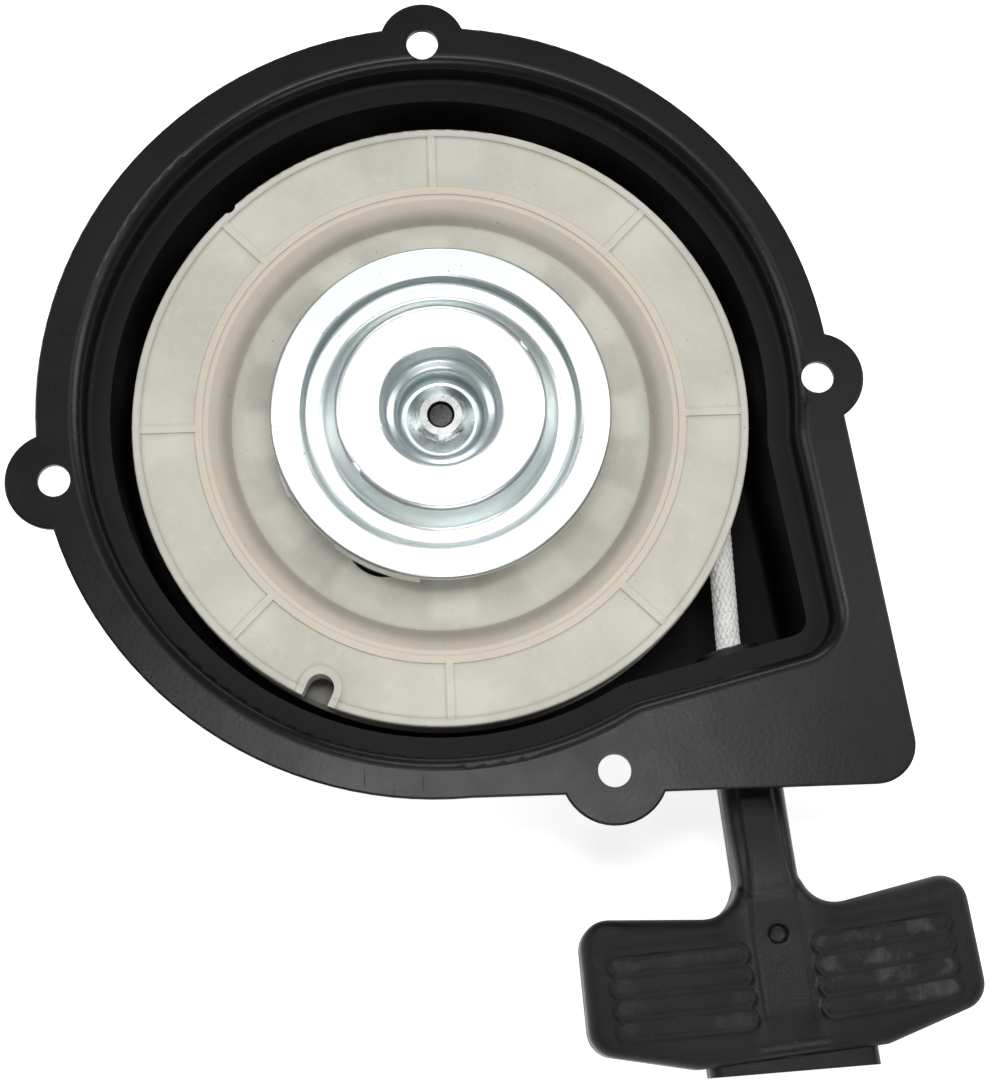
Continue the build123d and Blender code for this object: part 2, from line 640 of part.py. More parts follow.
def plate_top():
    """The friction plate's upper surface as (radius, height) points, from the bore outwards."""
    return (
        (9.2, CUP_FLOOR_Z), (9.8, -3.2), (12.1, -2.2), (12.5, PLATE_DISC_Z - 1.0), (13.5, PLATE_DISC_Z),
        (22.5, PLATE_DISC_Z), (25.4, PLATE_GROOVE_Z), (29.4, PLATE_GROOVE_Z), (30.4, PLATE_RIM_Z),
        (PLATE_R - 0.5, PLATE_RIM_Z), (PLATE_R, PLATE_RIM_Z - 0.6),
    )


def plate_underside():
    """The lower surface, one sheet thickness below, from the rim back to the bore."""
    sheet = PLATE_SHEET
    return (
        (PLATE_R, PLATE_RIM_Z - sheet), (29.6, PLATE_RIM_Z - sheet), (28.6, PLATE_GROOVE_Z - sheet),
        (24.6, PLATE_GROOVE_Z - sheet), (21.7, PLATE_DISC_Z - sheet), (14.1, PLATE_DISC_Z - sheet),
        (13.7, -3.4), (11.4, -4.4), (10.8, CUP_FLOOR_Z - sheet),
    )


def friction_plate():
    bore = ((COLLAR_R + FIT, CUP_FLOOR_Z - PLATE_SHEET), (COLLAR_R + FIT, CUP_FLOOR_Z))
    plate = turned_soft((*bore, *plate_top(), *plate_underside()), PRESSED_EDGE_R)
    under_top = turned((9.2, -12), *plate_top(), (PLATE_R, -12))
    lug = under_top & cylinder(LUG_R, LUG_END_Z, PLATE_DISC_Z, *polar(LUG_PITCH_R, LUG_DEG))
    for turn in pawl_places():
        plate += [turn * lug, turn * plate_tab()]
    return plate


def plate_tab():
    """A stretch of rim turned down beside the pawl's hub."""
    first = polar(2 * PLATE_R, TAB_START_DEG)
    last = polar(2 * PLATE_R, TAB_START_DEG + TAB_SPAN_DEG)
    wedge = Polygon((0, 0), first, last, align=None)
    band = (Circle(PLATE_R - 0.05) - Circle(PLATE_R - PLATE_SHEET)) & wedge
    return slab(band, TAB_END_Z, PLATE_RIM_Z - 1.0)


def friction_spring():
    """A cone washer that presses the plate against the nut."""
    top = CUP_FLOOR_Z - PLATE_SHEET - 0.05
    low = JOURNAL_TOP_Z - 0.05
    return turned((5.5, top - 0.7), (5.5, top), (6.4, top), (10.2, low + 0.7), (10.2, low), (9.3, low))


# ---- write the nodes ----------------------------------------------------------------

def nodes():
    pawls = [turn * pawl() for turn in pawl_places()]
    pins = [turn * pawl_pin() for turn in pawl_places()]
    springs = [turn * pawl_spring() for turn in pawl_places()]
    return {
        "housing_case": [housing_case()],
        "shaft_base_plate": [shaft_base_plate()],
        "center_shaft": [center_shaft()],
        "shaft_rivets": shaft_rivets(),
        "flange_nut": [flange_nut()],
        "rope_guide": [rope_guide()],
        "guide_eyelet": [guide_eyelet()],
        "rope_reel": [rope_reel()],
        "reel_bush": [reel_bush()],
        "thrust_washer": [thrust_washer()],
        "spring_cover": [spring_cover()],
        "cover_screws": cover_screws(),
        "power_spring": [power_spring()],
        "rope_winding": [rope_winding()],
        "reel_rope_knot": [reel_rope_knot()],
        "pawl_pins": pins,
        "pawl_spring_1": springs[:1],
        "pawl_spring_2": springs[1:],
        "pawl_1": pawls[:1],
        "pawl_2": pawls[1:],
        "friction_plate": [friction_plate()],
        "friction_spring": [friction_spring()],
        "rope_run": [rope_tube(ROPE_R)],
        "rope_end_knot": [rope_end_knot()],
        "rope_washer": [rope_washer()],
        "handle_grip": [handle_grip()],
        "handle_cap": [handle_cap()],
    }


def solids_of(shapes):
    return [solid for shape in shapes for solid in shape.solids()]


os.makedirs("parts", exist_ok=True)
for name, shapes in nodes().items():
    solids = solids_of(shapes)
    whole = solids[0] if len(solids) == 1 else Compound(children=solids)
    export_step(whole, f"parts/{name}.step")
    print(f"{name}: {len(solids)} solid(s), {whole.volume / 1000:.2f} cm3")
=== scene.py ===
import json
import math

import bpy
from mathutils import Matrix, Vector


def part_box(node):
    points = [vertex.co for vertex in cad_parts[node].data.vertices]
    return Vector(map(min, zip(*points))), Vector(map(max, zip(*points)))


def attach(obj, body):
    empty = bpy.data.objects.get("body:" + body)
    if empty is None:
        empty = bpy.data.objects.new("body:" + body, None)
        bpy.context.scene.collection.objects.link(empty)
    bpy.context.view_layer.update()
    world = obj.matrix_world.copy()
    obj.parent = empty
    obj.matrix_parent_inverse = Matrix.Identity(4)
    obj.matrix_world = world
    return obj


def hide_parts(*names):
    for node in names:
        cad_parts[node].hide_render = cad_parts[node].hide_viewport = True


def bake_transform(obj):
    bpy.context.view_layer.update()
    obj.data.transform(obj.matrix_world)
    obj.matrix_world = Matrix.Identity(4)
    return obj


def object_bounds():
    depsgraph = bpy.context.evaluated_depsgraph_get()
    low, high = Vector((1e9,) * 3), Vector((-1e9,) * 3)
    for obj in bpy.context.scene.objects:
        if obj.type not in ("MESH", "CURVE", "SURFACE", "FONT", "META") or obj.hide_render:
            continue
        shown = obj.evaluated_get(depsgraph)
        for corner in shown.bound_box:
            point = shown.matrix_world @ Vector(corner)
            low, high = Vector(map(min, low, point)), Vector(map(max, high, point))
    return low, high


# Looks of the recoil starter. Lengths are in metres, and the handle section's own in millimetres.

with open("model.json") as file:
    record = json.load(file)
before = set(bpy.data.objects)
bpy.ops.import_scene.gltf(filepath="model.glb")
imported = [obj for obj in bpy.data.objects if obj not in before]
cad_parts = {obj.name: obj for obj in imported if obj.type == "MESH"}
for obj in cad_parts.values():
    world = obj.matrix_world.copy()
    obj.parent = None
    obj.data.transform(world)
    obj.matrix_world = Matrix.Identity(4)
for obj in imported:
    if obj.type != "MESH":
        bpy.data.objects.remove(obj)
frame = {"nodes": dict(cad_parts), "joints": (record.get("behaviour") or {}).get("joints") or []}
cad_low, cad_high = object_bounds()
MM = 0.001

# ---- places read from the frame -----------------------------------------------------

PULL_JOINT = next(j for j in frame["joints"] if j["name"] == "handle_pull")
SWIVEL_JOINT = next(j for j in frame["joints"] if j["name"] == "handle_swivel")
PULL = Vector(PULL_JOINT["axis"]).normalized()
UP = Vector((0, 0, 1))
ACROSS = UP.cross(PULL) * -1
SWIVEL_AT = 60 * MM
AXIS_START = Vector(SWIVEL_JOINT["pos_m"]) - PULL * SWIVEL_AT
ROPE_Z = AXIS_START.z
WINDING_LOW, WINDING_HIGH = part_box("rope_winding")
ROPE_R = (WINDING_HIGH.z - WINDING_LOW.z) / 2
WINDING_R = (WINDING_HIGH.x - WINDING_LOW.x) / 2
LAST_TURN_R = WINDING_R - ROPE_R
FLOOR_GAP = 0.05 * MM
FLOOR_Z = cad_low.z - FLOOR_GAP

# ---- small helpers ------------------------------------------------------------------


class Graph:
    """Short calls for building a node material."""

    def __init__(self, name):
        self.material = bpy.data.materials.new(name)
        self.material.use_nodes = True
        self.nodes = self.material.node_tree.nodes
        self.links = self.material.node_tree.links
        self.shader = self.nodes["Principled BSDF"]
        self.place = self.add("ShaderNodeTexCoord").outputs["Object"]

    def add(self, kind, inputs=None, **settings):
        node = self.nodes.new(kind)
        for key, value in settings.items():
            setattr(node, key, value)
        for key, value in (inputs or {}).items():
            self.put(node.inputs[key], value)
        return node

    def put(self, socket, value):
        if isinstance(value, bpy.types.NodeSocket):
            self.links.new(value, socket)
        else:
            socket.default_value = value

    def noise(self, scale, detail=4.0, roughness=0.55, place=None, distortion=0.0):
        node = self.add("ShaderNodeTexNoise", {
            "Vector": place or self.place, "Scale": scale, "Detail": detail,
            "Roughness": roughness, "Distortion": distortion,
        })
        return node.outputs["Fac"]

    def math(self, operation, a, b=0.0):
        node = self.add("ShaderNodeMath", {0: a, 1: b}, operation=operation)
        return node.outputs[0]

    def span(self, value, low, high, to_low=0.0, to_high=1.0):
        """The value moved from one range to another, and held inside it."""
        node = self.add("ShaderNodeMapRange", {
            "Value": value, "From Min": low, "From Max": high, "To Min": to_low, "To Max": to_high,
        })
        return node.outputs["Result"]

    def mix(self, factor, a, b):
        node = self.add("ShaderNodeMix", {"Factor": factor}, data_type="RGBA")
        colours = [s for s in node.inputs if s.type == "RGBA"]
        self.put(colours[0], a)
        self.put(colours[1], b)
        return next(s for s in node.outputs if s.type == "RGBA")

    def bump(self, height, strength, distance, normal=None):
        inputs = {"Height": height, "Strength": strength, "Distance": distance}
        if normal is not None:
            inputs["Normal"] = normal
        return self.add("ShaderNodeBump", inputs).outputs["Normal"]

    def stretched(self, x, y, z):
        """The place scaled by different amounts along the axes."""
        node = self.add("ShaderNodeMapping", {"Vector": self.place, "Scale": (x, y, z)})
        return node.outputs["Vector"]

    def radius_and_angle(self):
        """Distance from the reel's axis in metres, and the angle about it in radians."""
        parts = self.add("ShaderNodeSeparateXYZ", {"Vector": self.place})
        x, y = parts.outputs["X"], parts.outputs["Y"]
        squares = self.math("ADD", self.math("MULTIPLY", x, x), self.math("MULTIPLY", y, y))
        return self.math("SQRT", squares), self.math("ARCTAN2", y, x)

    def finish(self, **sockets):
        for key, value in sockets.items():
            self.put(self.shader.inputs[key.replace("_", " ")], value)
        return self.material


def grey(value):
    return (value, value, value, 1.0)


def rgb(r, g, b):
    return (r, g, b, 1.0)


# ---- materials ----------------------------------------------------------------------

def black_paint():
    """Satin black paint on pressed steel: orange peel, uneven gloss, dust, faint scratches, and painted
    shade deeper inside the housing.
    """
    g = Graph("black_paint")
    depth = g.add("ShaderNodeSeparateXYZ", {"Vector": g.place}).outputs["Z"]
    # Painted shade: from 3.5 mm to 8 mm down into the housing the paint's colour goes darker, by the
    # mask deep, which also makes it rougher.
    deep = g.span(depth, -0.0035, -0.0080)
    cloud = g.span(g.noise(11, 5, 0.6), 0.35, 0.68)
    base = g.mix(cloud, rgb(0.0036, 0.0036, 0.0037), rgb(0.0070, 0.0066, 0.0062))
    base = g.mix(deep, base, rgb(0.0014, 0.0014, 0.0014))
    dust = g.span(g.noise(2600, 2, 0.5), 0.70, 0.78, 0.0, 0.25)
    base = g.mix(dust, base, rgb(0.07, 0.066, 0.058))
    worn, broken = g.span(g.noise(26, 4, 0.6), 0.56, 0.70), g.span(g.noise(520, 4, 0.6), 0.50, 0.66)
    rubbed = g.math("MULTIPLY", worn, broken)
    base = g.mix(g.math("MULTIPLY", rubbed, 0.22), base, rgb(0.060, 0.052, 0.045))
    scratch = g.span(g.noise(1.0, 3, 0.6, g.stretched(900, 70, 300)), 0.66, 0.72, 0.0, 0.08)
    rough = g.math("ADD", g.span(g.noise(9, 4, 0.6), 0.3, 0.7, 0.21, 0.31), scratch)
    rough = g.math("ADD", rough, g.span(g.noise(140, 4, 0.6), 0.3, 0.7, 0.0, 0.035))
    rough = g.math("ADD", rough, g.math("MULTIPLY", deep, 0.30))
    peel = g.bump(g.noise(950, 3, 0.5), 0.08, 0.0003)
    dents = g.bump(g.noise(42, 2, 0.5), 0.07, 0.0012, peel)
    g.shader.inputs["Specular IOR Level"].default_value = 0.25
    return g.finish(Base_Color=base, Roughness=rough, Normal=dents)


def bright_zinc():
    """Bright zinc on the pressed plate: painted shade in the cup, on the slope and in the groove, press
    rings and specks.
    """
    g = Graph("bright_zinc")
    radius, angle = g.radius_and_angle()
    pale, cool = rgb(0.83, 0.86, 0.855), rgb(0.76, 0.84, 0.825)
    base = g.mix(g.span(g.noise(38, 3, 0.5), 0.35, 0.65), pale, cool)
    blue = g.span(g.noise(21, 3, 0.6, g.stretched(1, 1.7, 1)), 0.5, 0.75)
    base = g.mix(blue, base, rgb(0.78, 0.81, 0.88))
    # Painted shade: the cup in the plate's middle is tinted darker and bluer.
    cup = g.span(radius, 0.0135, 0.0115)
    base = g.mix(g.math("MULTIPLY", cup, 0.75), base, rgb(0.62, 0.70, 0.73))
    # Painted shade: a grey band on the slope, 22 to 26 mm from the axis.
    slope = g.math("MULTIPLY", g.span(radius, 0.0222, 0.0234), g.span(radius, 0.0262, 0.0248))
    base = g.mix(g.math("MULTIPLY", slope, 0.35), base, rgb(0.55, 0.58, 0.57))
    # Painted shade: a dark line in the groove's corner, 29 to 31 mm from the axis, stronger towards the
    # plate's +Y side.
    line = g.math("MULTIPLY", g.span(radius, 0.0290, 0.0295), g.span(radius, 0.0306, 0.0302))
    line = g.math("MULTIPLY", line, g.span(g.math("SINE", angle), -0.9, 0.5, 0.25, 0.9))
    base = g.mix(line, base, rgb(0.15, 0.17, 0.18))
    speck = g.span(g.noise(900, 2, 0.5), 0.735, 0.76, 0.0, 0.75)
    base = g.mix(speck, base, rgb(0.25, 0.25, 0.24))
    rings = g.add("ShaderNodeCombineXYZ", {
        "X": g.math("MULTIPLY", radius, 1500.0), "Y": g.math("MULTIPLY", angle, 1.4),
    }).outputs[0]
    ring = g.noise(1.0, 3, 0.6, rings)
    rough = g.span(g.noise(230, 5, 0.65), 0.3, 0.7, 0.27, 0.38)
    rough = g.math("ADD", rough, g.span(ring, 0.3, 0.7, 0.0, 0.05))
    bumps = g.bump(ring, 0.10, 0.00012)
    bumps = g.bump(g.noise(75, 2, 0.5), 0.07, 0.0009, bumps)
    g.shader.inputs["Metallic"].default_value = 1.0
    return g.finish(Base_Color=base, Roughness=rough, Normal=bumps)


def steel(name, light, dark, low_rough, high_rough, pits):
    """Bare steel between two tones, with cloudy gloss and pits as deep as asked."""
    g = Graph(name)
    base = g.mix(g.span(g.noise(160, 5, 0.65), 0.35, 0.68), light, dark)
    pit = g.span(g.noise(1300, 3, 0.6), 0.60, 0.72)
    base = g.mix(g.math("MULTIPLY", pit, 0.6), base, dark)
    rough = g.span(g.noise(420, 4, 0.6), 0.3, 0.7, low_rough, high_rough)
    normal = g.bump(g.math("SUBTRACT", 1.0, pit), pits, 0.00025)
    g.shader.inputs["Metallic"].default_value = 1.0
    return g.finish(Base_Color=base, Roughness=rough, Normal=normal)


def moulded_nylon():
    """Off-white nylon: cloudy, slightly see-through, greyer in patches where ribs stand behind, with
    painted shade at the slope's foot and just inside the rim.
    """
    g = Graph("moulded_nylon")
    radius, angle = g.radius_and_angle()
    cloud = g.noise(30, 5, 0.62, distortion=0.4)
    base = g.mix(g.span(cloud, 0.36, 0.66), rgb(0.58, 0.56, 0.485), rgb(0.47, 0.46, 0.405))
    fleck = g.noise(330, 4, 0.6)
    base = g.mix(g.span(fleck, 0.52, 0.74, 0.0, 0.30), base, rgb(0.67, 0.66, 0.59))
    wander = g.math("ADD", g.math("MULTIPLY", angle, 12.0), g.math("MULTIPLY", cloud, 1.6))
    hub = g.math("MULTIPLY", g.span(radius, 0.0455, 0.0425), g.span(radius, 0.030, 0.034))
    patch = g.math("MULTIPLY", g.span(g.math("SINE", wander), -0.25, 0.45), hub)
    base = g.mix(g.math("MULTIPLY", patch, 0.60), base, rgb(0.71, 0.69, 0.61))
    wide = g.math("ADD", g.math("MULTIPLY", angle, 8.0), g.math("MULTIPLY", cloud, 3.0))
    panel = g.math("MULTIPLY", g.span(g.math("SINE", wide), 0.2, 0.9), g.span(radius, 0.0545, 0.058))
    base = g.mix(g.math("MULTIPLY", panel, 0.40), base, rgb(0.66, 0.65, 0.60))
    band = g.math("MULTIPLY", g.span(radius, 0.0478, 0.0500), g.span(radius, 0.0548, 0.0535))
    base = g.mix(g.math("MULTIPLY", band, 0.75), base, rgb(0.62, 0.555, 0.46))
    # Painted shade: a brown ring where the slope meets the floor, 45 to 49 mm from the axis.
    foot = g.math("MULTIPLY", g.span(radius, 0.0452, 0.0466), g.span(radius, 0.0492, 0.0474))
    base = g.mix(g.math("MULTIPLY", foot, 0.55), base, rgb(0.33, 0.27, 0.20))
    # Painted shade: a darker ring 65 to 66 mm from the axis, just inside the rim's edge.
    lip = g.math("MULTIPLY", g.span(radius, 0.0648, 0.0655), g.span(radius, 0.0664, 0.0658))
    base = g.mix(g.math("MULTIPLY", lip, 0.35), base, rgb(0.36, 0.34, 0.28))
    grime = g.span(g.noise(1500, 2, 0.5), 0.745, 0.77, 0.0, 0.8)
    base = g.mix(grime, base, rgb(0.06, 0.055, 0.05))
    rough = g.span(g.noise(120, 4, 0.6), 0.3, 0.7, 0.36, 0.52)
    normal = g.bump(g.noise(150, 4, 0.55), 0.22, 0.0006)
    normal = g.bump(g.noise(1800, 2, 0.5), 0.10, 0.0002, normal)
    g.shader.subsurface_method = "RANDOM_WALK"
    g.shader.inputs["Subsurface Weight"].default_value = 0.18
    g.shader.inputs["Subsurface Radius"].default_value = (1.0, 0.85, 0.6)
    g.shader.inputs["Subsurface Scale"].default_value = 0.0022
    return g.finish(Base_Color=base, Roughness=rough, Normal=normal)


def black_plastic(name, low_rough=0.32, high_rough=0.50, grain=0.13):
    """The graph of a black moulded plastic: a fine grain, handling marks and faint pale scuffs."""
    g = Graph(name)
    cloud = g.span(g.noise(45, 5, 0.65), 0.38, 0.66)
    base = g.mix(cloud, rgb(0.0042, 0.0041, 0.0040), rgb(0.0090, 0.0086, 0.0082))
    streak = g.noise(1.0, 4, 0.7, g.stretched(160, 900, 400))
    scuff = g.math("MULTIPLY", g.span(g.noise(110, 4, 0.7), 0.55, 0.72), g.span(streak, 0.50, 0.66))
    base = g.mix(g.math("MULTIPLY", scuff, 0.30), base, rgb(0.060, 0.057, 0.055))
    speck = g.span(g.noise(1900, 2, 0.5), 0.73, 0.76, 0.0, 0.6)
    base = g.mix(speck, base, rgb(0.08, 0.08, 0.076))
    rough = g.span(g.noise(90, 5, 0.65), 0.3, 0.7, low_rough, high_rough)
    normal = g.bump(g.noise(2300, 3, 0.55), grain, 0.0003)
    normal = g.bump(g.noise(130, 3, 0.5), 0.10, 0.0007, normal)
    g.shader.inputs["Specular IOR Level"].default_value = 0.30
    g.finish(Base_Color=base, Roughness=rough, Normal=normal)
    return g


def handle_plastic():
    """The handle's black plastic: duller wings, and finger ribs rubbed paler on top."""
    g = black_plastic("handle_plastic")
    plain = g.shader.inputs["Base Color"].links[0].from_socket
    gloss = g.shader.inputs["Roughness"].links[0].from_socket
    on_ribs = g.add("ShaderNodeAttribute", attribute_name="rib_top").outputs["Fac"]
    wing = g.add("ShaderNodeAttribute", attribute_name="wing").outputs["Fac"]
    patches = g.math("MULTIPLY", g.span(g.noise(85, 4, 0.65), 0.50, 0.60), on_ribs)
    streak = g.span(g.noise(1.0, 3, 0.65, g.stretched(700, 120, 120)), 0.35, 0.62, 0.45, 1.0)
    rubbed = g.math("MULTIPLY", g.math("MULTIPLY", patches, streak), 0.55)
    rough = g.math("ADD", gloss, g.math("MULTIPLY", wing, 0.20))
    return g.finish(Base_Color=g.mix(rubbed, plain, rgb(0.085, 0.080, 0.078)), Roughness=rough)


def sintered_bronze():
    g = Graph("sintered_bronze")
    base = g.mix(g.span(g.noise(500, 4, 0.6), 0.35, 0.65), rgb(0.52, 0.34, 0.16), rgb(0.30, 0.19, 0.10))
    rough = g.span(g.noise(260, 4, 0.6), 0.3, 0.7, 0.30, 0.50)
    g.shader.inputs["Metallic"].default_value = 1.0
    return g.finish(Base_Color=base, Roughness=rough, Normal=g.bump(g.noise(2400, 3), 0.3, 0.0002))


BRAID_STRANDS = 12
BRAID_STEP = 2.8 * MM
BRAID_RATE = 2 * math.pi / (BRAID_STRANDS * BRAID_STEP)


def braid_weave(g, along, around):
    """Height of a plain braid, from 0 to 1, at a length along the rope and an angle round it."""
    turn = g.math("MULTIPLY", along, BRAID_RATE)
    over = g.math("COSINE", g.math("MULTIPLY", turn, BRAID_STRANDS))
    heights = []
    for side in (-1.0, 1.0):
        phase = g.math("ADD", around, g.math("MULTIPLY", turn, side))
        ridge = g.math("COSINE", g.math("MULTIPLY", phase, BRAID_STRANDS))
        ridge_part, over_part = g.math("MULTIPLY", ridge, 0.30), g.math("MULTIPLY", over, 0.20 * side)
        heights.append(g.math("ADD", ridge_part, over_part))
    return g.math("ADD", g.math("MAXIMUM", *heights), 0.5)


def braided_cover(g, along, around):
    """White braid with painted shade in its grey hollows, and fine fibres, on a plain tube."""
    weave = braid_weave(g, along, around)
    fibres = g.noise(2600, 2, 0.5)
    # Painted shade: the colour goes grey where the weave is low, in the hollows between strands.
    base = g.mix(g.span(weave, 0.25, 0.85), rgb(0.36, 0.355, 0.35), rgb(0.80, 0.79, 0.765))
    base = g.mix(g.span(g.noise(60, 3), 0.45, 0.75, 0.0, 0.25), base, rgb(0.60, 0.58, 0.54))
    normal = g.bump(weave, 0.9, 0.0006)
    normal = g.bump(fibres, 0.25, 0.0002, normal)
    g.shader.inputs["Sheen Weight"].default_value = 0.25
    return g.finish(Base_Color=base, Roughness=g.span(fibres, 0.3, 0.7, 0.62, 0.85), Normal=normal)


def rope_on_reel():
    """The braid on the wound rope, laid out by the two numbers kept on its mesh."""
    g = Graph("rope_on_reel")
    along = g.add("ShaderNodeAttribute", attribute_name="rope_along").outputs["Fac"]
    around = g.add("ShaderNodeAttribute", attribute_name="rope_around").outputs["Fac"]
    return braided_cover(g, along, around)


def rope_on_pull():
    """The braid on the straight rope, laid out along the pull, so it doesn't stretch."""
    g = Graph("rope_on_pull")
    offset = g.add("ShaderNodeVectorMath", {0: g.place, 1: AXIS_START}, operation="SUBTRACT").outputs[0]
    dots = []
    for direction in (PULL, ACROSS, UP):
        node = g.add("ShaderNodeVectorMath", {0: offset, 1: direction}, operation="DOT_PRODUCT")
        dots.append(node.outputs["Value"])
    return braided_cover(g, dots[0], g.math("ARCTAN2", dots[2], dots[1]))


def rope_strand():
    """One strand of the braid: white fibres with a soft sheen and a little grime."""
    g = Graph("rope_strand")
    base = g.mix(g.span(g.noise(90, 4), 0.4, 0.7), rgb(0.90, 0.89, 0.87), rgb(0.78, 0.77, 0.75))
    fibre = g.noise(1.0, 2, 0.5, g.stretched(5200, 700, 5200))
    base = g.mix(g.span(fibre, 0.52, 0.72, 0.0, 0.35), base, rgb(0.45, 0.44, 0.42))
    g.shader.inputs["Sheen Weight"].default_value = 0.3
    rough = g.span(fibre, 0.3, 0.7, 0.50, 0.72)
    return g.finish(Base_Color=base, Roughness=rough, Normal=g.bump(fibre, 0.3, 0.0002))


def rope_core():
    """The core seen in the gaps between the strands: the same fibres, painted grey as the shade in the
    gaps.
    """
    g = Graph("rope_core")
    base = g.mix(g.span(g.noise(420, 4), 0.35, 0.65), rgb(0.30, 0.295, 0.285), rgb(0.17, 0.165, 0.16))
    return g.finish(Base_Color=base, Roughness=g.span(g.noise(900, 2), 0.3, 0.7, 0.7, 0.9))


def floor_material():
    g = Graph("pale_floor")
    base = g.mix(g.span(g.noise(6, 3), 0.3, 0.7), grey(0.90), grey(0.88))
    g.shader.inputs["Emission Color"].default_value = grey(1.0)
    g.shader.inputs["Emission Strength"].default_value = 0.74
    return g.finish(Base_Color=base, Roughness=0.85)


PAINT = black_paint()
ZINC = bright_zinc()
PLAIN_STEEL = steel("plain_steel", grey(0.62), grey(0.33), 0.22, 0.42, 0.55)
DARK_STEEL = steel("dark_steel", grey(0.10), grey(0.04), 0.26, 0.46, 0.3)
NYLON = moulded_nylon()
DULL_ZINC = steel("dull_zinc", rgb(0.60, 0.62, 0.61), rgb(0.36, 0.38, 0.38), 0.20, 0.34, 0.2)
SPRING_STEEL = steel("spring_steel", grey(0.30), grey(0.12), 0.24, 0.42, 0.3)
HANDLE_PLASTIC = handle_plastic()
CAP_PLASTIC = black_plastic("cap_plastic").material
GUIDE_PLASTIC = black_plastic("guide_plastic", 0.42, 0.6, 0.18).material
BRONZE = sintered_bronze()
STRAND = rope_strand()
CORE = rope_core()
WOUND_ROPE = rope_on_reel()
PULLED_ROPE = rope_on_pull()

NODE_MATERIALS = {
    "housing_case": PAINT, "shaft_base_plate": PLAIN_STEEL, "center_shaft": DARK_STEEL,
    "shaft_rivets": PLAIN_STEEL, "flange_nut": DULL_ZINC, "rope_guide": GUIDE_PLASTIC,
    "guide_eyelet": DULL_ZINC, "rope_reel": NYLON, "reel_bush": BRONZE, "thrust_washer": PLAIN_STEEL,
    "spring_cover": PLAIN_STEEL, "cover_screws": DULL_ZINC, "power_spring": DARK_STEEL,
    "reel_rope_knot": STRAND, "pawl_pins": PLAIN_STEEL, "pawl_1": PLAIN_STEEL,
    "pawl_2": PLAIN_STEEL, "friction_plate": ZINC, "friction_spring": DARK_STEEL,
    "rope_end_knot": STRAND, "rope_washer": DULL_ZINC, "handle_cap": CAP_PLASTIC,
}


def dress(obj, material):
    obj.data.materials.clear()
    obj.data.materials.append(material)


for node_name, node_material in NODE_MATERIALS.items():
    dress(frame["nodes"][node_name], node_material)


# ---- mesh helpers -------------------------------------------------------------------

def new_object(name, vertices, faces, smooth=True):
    mesh = bpy.data.meshes.new(name)
    mesh.from_pydata([tuple(v) for v in vertices], [], faces)
    mesh.validate()
    mesh.update()
    if smooth:
        mesh.shade_smooth()
    obj = bpy.data.objects.new(name, mesh)
    bpy.context.scene.collection.objects.link(obj)
    return obj


def tube_mesh(points, directions, sides, section):
    """Vertices and faces of a closed tube. section(i, j) gives the offset of side j at point i."""
    vertices, faces = [], []
    for i, (point, (side, up)) in enumerate(zip(points, directions)):
        for j in range(sides):
            a, b = section(i, j)
            vertices.append(point + side * a + up * b)
    for i in range(len(points) - 1):
        for j in range(sides):
            k = (j + 1) % sides
            faces.append((i * sides + j, i * sides + k, (i + 1) * sides + k, (i + 1) * sides + j))
    faces.append(tuple(reversed(range(sides))))
    last = (len(points) - 1) * sides
    faces.append(tuple(last + j for j in range(sides)))
    return vertices, faces


def round_section(radius, sides):
    def section(_, j):
        angle = 2 * math.pi * j / sides
        return radius * math.cos(angle), radius * math.sin(angle)
    return section


def moving_axes(points, up):
    """At each point of a line, the two directions across it, the second close to up."""
    axes = []
    for i in range(len(points)):
        ahead = points[min(i + 1, len(points) - 1)] - points[max(i - 1, 0)]
        side = ahead.normalized().cross(up).normalized()
        axes.append((side, side.cross(ahead.normalized()).normalized()))
    return axes


def joined(vertex_sets):
    """Several (vertices, faces) made into one."""
    vertices, faces = [], []
    for more_vertices, more_faces in vertex_sets:
        start = len(vertices)
        vertices += more_vertices
        faces += [tuple(start + k for k in face) for face in more_faces]
    return vertices, faces


# ---- rope ---------------------------------------------------------------------------

GUIDE_MOUTH = AXIS_START - PULL * 3 * MM
MOUTH_BEND = 12 * MM
RUN_END = AXIS_START + PULL * 4 * MM
STRAND_WEAVE = 0.13 * MM
STRAND_HALF_WIDTH = 0.66 * MM
STRAND_HALF_THICKNESS = 0.24 * MM
CORE_CLEARANCE = 0.16 * MM
PULLED_START = 2.0 * MM
WOUND_CLEARANCE = 0.06 * MM


def tangent_point():
    """Where the rope leaves its last turn, on the way to the guide."""
    reach = math.hypot(GUIDE_MOUTH.x, GUIDE_MOUTH.y)
    heading = math.atan2(GUIDE_MOUTH.y, GUIDE_MOUTH.x)
    angle = heading + math.acos(LAST_TURN_R / reach)
    return Vector((LAST_TURN_R * math.cos(angle), LAST_TURN_R * math.sin(angle), ROPE_Z)), angle


TANGENT, TANGENT_ANGLE = tangent_point()


def run_line(step):
    """Points from the tangent point through a gentle bend at the guide's mouth, into the guide."""
    heading = (GUIDE_MOUTH - TANGENT).normalized()
    corner_in = GUIDE_MOUTH - heading * MOUTH_BEND * 0.5
    corner_out = GUIDE_MOUTH + PULL * MOUTH_BEND * 0.5
    points = [TANGENT.lerp(corner_in, t / 40) for t in range(40)]
    for i in range(13):
        t = i / 12
        points.append(corner_in * (1 - t) ** 2 + GUIDE_MOUTH * 2 * t * (1 - t) + corner_out * t * t)
    points.append(RUN_END)
    return resample(points, step)


def resample(points, step):
    lengths = [0.0]
    for a, b in zip(points, points[1:]):
        lengths.append(lengths[-1] + (b - a).length)
    count = max(2, round(lengths[-1] / step))
    out, k = [], 0
    for i in range(count + 1):
        target = lengths[-1] * i / count
        while k < len(points) - 2 and lengths[k + 1] < target:
            k += 1
        share = (target - lengths[k]) / max(lengths[k + 1] - lengths[k], 1e-12)
        out.append(points[k].lerp(points[k + 1], min(share, 1.0)))
    return out


